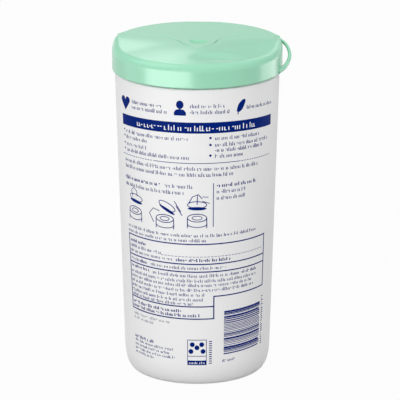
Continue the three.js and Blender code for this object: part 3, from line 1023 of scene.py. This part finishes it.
def hang_loop_mesh():
    """The loop: a strap of oval section from the rim to the skirt's foot, thicker at its roots."""
    root = CAP_RADIUS - CAP_WALL / 2
    top = Vector((root * math.cos(LOOP_TOP_ANGLE), root * math.sin(LOOP_TOP_ANGLE),
                  CAP_TOP - LOOP_TOP_THICKNESS))
    bottom = Vector((root * math.cos(LOOP_BOTTOM_ANGLE), root * math.sin(LOOP_BOTTOM_ANGLE),
                     SKIRT_BOTTOM + LOOP_BOTTOM_THICKNESS / 2))
    middle = Vector((CAP_RADIUS + LOOP_REACH, 0, (top.z + bottom.z) / 2))
    half = (top - bottom) / 2
    upper = middle + half * LOOP_SHOULDER_UP
    lower = middle - half * LOOP_SHOULDER_UP
    upper.x = lower.x = CAP_RADIUS + LOOP_REACH * LOOP_SHOULDER_OUT
    path = smooth_path([top, upper, middle, lower, bottom], LOOP_STEPS)
    rings = []
    for i, at in enumerate(path):
        along = (path[min(i + 1, LOOP_STEPS)] - path[max(i - 1, 0)]).normalized()
        across = (Vector((1, 0, 0)) - along * along.x).normalized()
        beside = along.cross(across)
        share = i / LOOP_STEPS
        thickness = LOOP_TOP_THICKNESS + (LOOP_BOTTOM_THICKNESS - LOOP_TOP_THICKNESS) * share
        ring = []
        for k in range(LOOP_SIDES):
            turn = 2 * math.pi * k / LOOP_SIDES
            ring.append(at + across * math.cos(turn) * thickness / 2
                        + beside * math.sin(turn) * LOOP_WIDTH / 2)
        rings.append(ring)
    return stacked(rings)


# The lid

def lid_outline():
    """The lid seen from above: its front edge, then the rim round the back with the hinge flat.
    Each point has the size of the round on its top edge."""
    seam = [Vector(p) for p in seam_line(0.0)]
    inner = [p for p in seam if p.length < CAP_RADIUS - SEAM_CORNER_CLEAR]
    start = math.pi - math.asin(SEAM_END_LEFT / CAP_RADIUS)
    stop = math.asin(SEAM_END_RIGHT / CAP_RADIUS)
    corner_r = Vector((math.cos(stop), math.sin(stop))) * CAP_RADIUS
    corner_l = Vector((math.cos(start), math.sin(start))) * CAP_RADIUS
    outline = [(corner_r, SEAM_EDGE_ROUND)]
    outline += [(p, SEAM_EDGE_ROUND) for p in inner]
    outline += [(corner_l, SEAM_EDGE_ROUND)]
    for i in range(1, LID_RIM_STEPS):
        angle = start + (stop - start) * i / LID_RIM_STEPS
        at = Vector((math.cos(angle), math.sin(angle))) * CAP_RADIUS
        at.y = min(at.y, HINGE_Y)
        from_corner = min(i, LID_RIM_STEPS - i) - LID_CORNER_STEPS
        growth = min(1.0, max(0.0, from_corner / LID_GROWTH_STEPS))
        size = SEAM_EDGE_ROUND + (LID_RIM_ROUND - SEAM_EDGE_ROUND) * growth
        outline.append((at, size))
    return outline


def moved_inward(outline, shares):
    """The outline with each point moved inward by its own round times a share."""
    count = len(outline)
    ring = []
    for i, (at, size) in enumerate(outline):
        before = (at - outline[i - 1][0]).normalized()
        after = (outline[(i + 1) % count][0] - at).normalized()
        along = (before + after).normalized()
        inward = Vector((along.y, -along.x))
        ring.append(at + inward * size * shares)
    return ring


def nail_recess_tool():
    """The crescent behind the tab's tip, deepest along its straight back wall."""
    recess = []
    levels = [(0.0, 0.0, 1.0), (0.0, 0.0, 0.0), (NAIL_RECESS_WALL, 1.0, 0.0)]
    for inset, depth_share, height in levels:
        ring = []
        steps = 40
        for k in range(steps + 1):
            turn = math.pi * k / steps
            x = NAIL_RECESS_X + (NAIL_RECESS_HALF_WIDTH - inset) * math.cos(turn)
            reach = NAIL_RECESS_BACK - NAIL_RECESS_FRONT - 2 * inset
            y = NAIL_RECESS_BACK - inset - reach * math.sin(turn) ** 1.6
            slope = (NAIL_RECESS_BACK - y) / (NAIL_RECESS_BACK - NAIL_RECESS_FRONT)
            depth = depth_share * NAIL_RECESS_DEPTH * (1 - NAIL_RECESS_SLOPE * slope)
            ring.append((x, y, CAP_TOP + height - depth))
        recess.append(ring)
    return stacked(recess)


def lid_mesh():
    """The lid's plate with its rounded top edge, the nail recess, and the ring that seals it."""
    outline = lid_outline()
    rings = [[(p.x, p.y, LID_UNDER) for p, size in outline]]
    for i in range(LID_ROUND_STEPS + 1):
        turn = math.pi / 2 * i / LID_ROUND_STEPS
        moved = moved_inward(outline, 1 - math.cos(turn))
        rings.append([(p.x, p.y, CAP_TOP - size * (1 - math.sin(turn)))
                      for p, (at, size) in zip(moved, outline)])
    rings.append([(p.x, p.y, CAP_TOP) for p in moved_inward(outline, LID_FLAT_START)])
    lid = stacked(rings)
    lid = combined(lid, nail_recess_tool(), "DIFFERENCE")
    outer = WELL_RADIUS - GAP
    seal = turned([(outer - LID_RING_WALL, LID_UNDER - LID_RING_DEPTH),
                   (outer - LID_RING_LEAD_IN, LID_UNDER - LID_RING_DEPTH - GAP),
                   (outer, LID_UNDER - LID_RING_DEPTH),
                   (outer, CAP_TOP - LID_THICKNESS / 2),
                   (outer - LID_RING_WALL, CAP_TOP - LID_THICKNESS / 2)],
                  WELL_CENTRE, WELL_SEGMENTS)
    return combined(lid, seal, "UNION")


def hinge_web_mesh():
    """The thin web of the hinge, which lies on the flat at the back of the rim, thinner along a
    groove across its middle.
    """
    mid = (DECK_TOP + LID_UNDER) / 2
    half = HINGE_WEB_WIDTH / 2
    front = HINGE_Y - HINGE_WEB_ROOT
    rows = []
    for i in range(13):
        z = mid - HINGE_WEB_REACH + 2 * HINGE_WEB_REACH * i / 12
        thin = 1 - HINGE_WEB_THINNING * math.exp(-((z - mid) / HINGE_WEB_GROOVE) ** 2)
        back = HINGE_Y + HINGE_WEB_THICKNESS * thin
        rows.append([(-half, front, z), (half, front, z), (half, back, z), (-half, back, z)])
    return stacked(rows)


# The roll

def roll_mesh():
    """The roll: plain outside, and a spiral of turns drawn on both ends at 1.9 mm from turn to
    turn, because the real ones are about 0.5 mm thick."""
    dice = random.Random(21)
    waves = [(dice.uniform(0.2, 0.5), dice.randint(2, 9), dice.uniform(0, 6.28)) for k in range(6)]
    edge = ROLL_EDGE_ROUND
    flat = ROLL_RADIUS - edge
    end = []
    for i in range(ROLL_END_RINGS + 1):
        end.append(ROLL_CORE_RADIUS + (flat - ROLL_CORE_RADIUS) * i / ROLL_END_RINGS)
    profile = [(r, ROLL_BOTTOM) for r in end]
    profile += quarter(flat, ROLL_BOTTOM + edge, edge, edge, -90, 0, 5)[1:]
    profile += quarter(flat, ROLL_TOP - edge, edge, edge, 0, 90, 5)[:-1]
    profile += [(r, ROLL_TOP) for r in reversed(end)]
    mesh = turned(profile)
    middle = (ROLL_BOTTOM + ROLL_TOP) / 2
    for vertex in mesh.vertices:
        x, y, z = vertex.co / MM
        radius = math.hypot(x, y)
        if radius > flat or abs(radius - ROLL_CORE_RADIUS) < 0.01:
            continue
        angle = math.atan2(y, x)
        wander = sum(size * math.sin(count * angle + phase) for size, count, phase in waves)
        wander *= TURN_WANDER
        turn = (radius + wander) / TURN_PITCH - angle / (2 * math.pi)
        crease = TURN_CREASE * (1 - abs(math.sin(math.pi * turn))) ** 2
        sink = CORE_SINK * max(0.0, 1 - (radius - ROLL_CORE_RADIUS) / CORE_SINK_WIDTH) ** 2
        vertex.co.z += (crease + sink) * MM * (1 if z < middle else -1)
    return mesh


# Light, camera and floor

def panel(name, place, aim, size, power, reflection_only=False):
    """A soft studio panel that the camera doesn't see. One for reflections adds no other light."""
    lamp = bpy.data.lights.new(name, "AREA")
    lamp.shape = "RECTANGLE"
    lamp.size = size[0]
    lamp.size_y = size[1]
    lamp.energy = power
    light = bpy.data.objects.new(name, lamp)
    light.location = place
    light.rotation_euler = (Vector(aim) - Vector(place)).to_track_quat("-Z", "Y").to_euler()
    light.visible_camera = False
    light.visible_diffuse = not reflection_only
    bpy.context.scene.collection.objects.link(light)
    return light


def backdrop_level(tree):
    """The white backdrop ends above the object, and the studio's dim ceiling follows it."""
    place = add(tree, "ShaderNodeTexCoord")
    split = add(tree, "ShaderNodeSeparateXYZ", links={"Vector": place.outputs["Generated"]})
    ends = add(tree, "ShaderNodeMapRange",
               {"From Min": 0.18, "From Max": 0.27, "To Min": 1.0, "To Max": 0.36},
               {"Value": split.outputs["Z"]})
    return ends.outputs["Result"]


def studio():
    """A lamp in front for even light. The low panels show as highlights on the walls, and the
    high ones on the cap's crown."""
    world = bpy.data.worlds.new("studio")
    world.use_nodes = True
    tree = world.node_tree
    tree.nodes.clear()
    fill = add(tree, "ShaderNodeBackground", {"Color": (1.0, 1.0, 1.0, 1.0), "Strength": 1.0})
    white = add(tree, "ShaderNodeBackground", {"Color": (1.0, 1.0, 1.0, 1.0)},
                {"Strength": backdrop_level(tree)})
    mix = add(tree, "ShaderNodeMixShader")
    tree.links.new(seen_as_white(tree, 1.0), mix.inputs[0])
    tree.links.new(fill.outputs["Background"], mix.inputs[1])
    tree.links.new(white.outputs["Background"], mix.inputs[2])
    add(tree, "ShaderNodeOutputWorld", links={"Surface": mix.outputs["Shader"]})
    bpy.context.scene.world = world

    key = panel("key_front", (-0.42, -1.39, 0.62), (0, 0, 0.08), (0.9, 0.7), 8.4)
    key.visible_glossy = False
    panel("panel_left_front", (-0.235, -0.315, 0.075), (0, 0, 0.075), (0.48, 0.15), 1.45, True)
    panel("panel_left_side", (-0.46, 0.0, 0.08), (0, 0, 0.08), (0.30, 0.15), 0.12, True)
    panel("panel_overhead_left", (-0.36, -0.05, 0.66), (0, 0, 0.16), (0.6, 0.5), 1.2, True)
    panel("panel_back_left", (-0.10, 0.60, 0.66), (-0.10, 0, 0.16), (0.10, 0.50), 0.32, True)
    panel("panel_back_right", (0.26, 0.60, 0.62), (0.26, 0, 0.16), (0.34, 0.50), 0.5, True)
    panel("panel_right_back", (0.415, 0.168, 0.08), (0, 0, 0.08), (0.30, 0.15), 0.45, True)

    side = FLOOR_HALF_SIDE
    ground = bpy.data.meshes.new("studio_floor")
    ground.from_pydata([(-side, -side, 0), (side, -side, 0), (side, side, 0), (-side, side, 0)], [],
                       [(0, 1, 2, 3)])
    ground.materials.append(studio_floor_paper())
    floor = bpy.data.objects.new("studio_floor", ground)
    bpy.context.scene.collection.objects.link(floor)

    data = bpy.data.cameras.new("photo_camera")
    data.lens = CAMERA_LENS
    data.sensor_width = CAMERA_SENSOR
    data.clip_end = 20
    camera = bpy.data.objects.new("photo_camera", data)
    place = Vector(CAMERA_PLACE)
    aim = Vector(CAMERA_AIM)
    across = Vector((math.cos(CAMERA_TURN), math.sin(CAMERA_TURN), 0)) * CAMERA_SIDESTEP
    camera.location = place + across
    camera.rotation_euler = (aim - place).to_track_quat("-Z", "Y").to_euler()
    bpy.context.scene.collection.objects.link(camera)
    bpy.context.scene.camera = camera
    settings = bpy.context.scene.view_settings
    settings.view_transform = "Standard"


POLYETHYLENE = blow_moulded_polyethylene()
POLYPROPYLENE = injection_moulded_polypropylene()
NONWOVEN = moist_nonwoven()
BLUE_INK = offset_printing_ink("offset_ink_blue", "#002478", "#001E6C")
GREY_INK = offset_printing_ink("offset_ink_grey", "#8A8F98", "#7C828C")
WHITE_INK = offset_printing_ink("offset_ink_white", "#EDEFF3", "#F4F5F8")

canister = finished("canister_shell", turned(canister_profile()), POLYETHYLENE)
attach(canister, "canister")
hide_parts("canister_body")

roll = finished("roll_turns", roll_mesh(), NONWOVEN)
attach(roll, "canister")
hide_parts("wipes_roll")

cap = finished("cap_shell", cap_mesh(), POLYPROPYLENE)
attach(cap, "cap")
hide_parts("cap_base")

loop = finished("hang_loop", hang_loop_mesh(), POLYPROPYLENE)
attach(loop, "cap")

lid = finished("lid_plate", lid_mesh(), POLYPROPYLENE)
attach(lid, "lid")
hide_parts("flip_lid")

web = finished("hinge_web", hinge_web_mesh(), POLYPROPYLENE)
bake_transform(web)

print_panels()
print_sign()
print_pictograms()
print_rows()
print_grey_rows()
print_banner_marks()

studio()
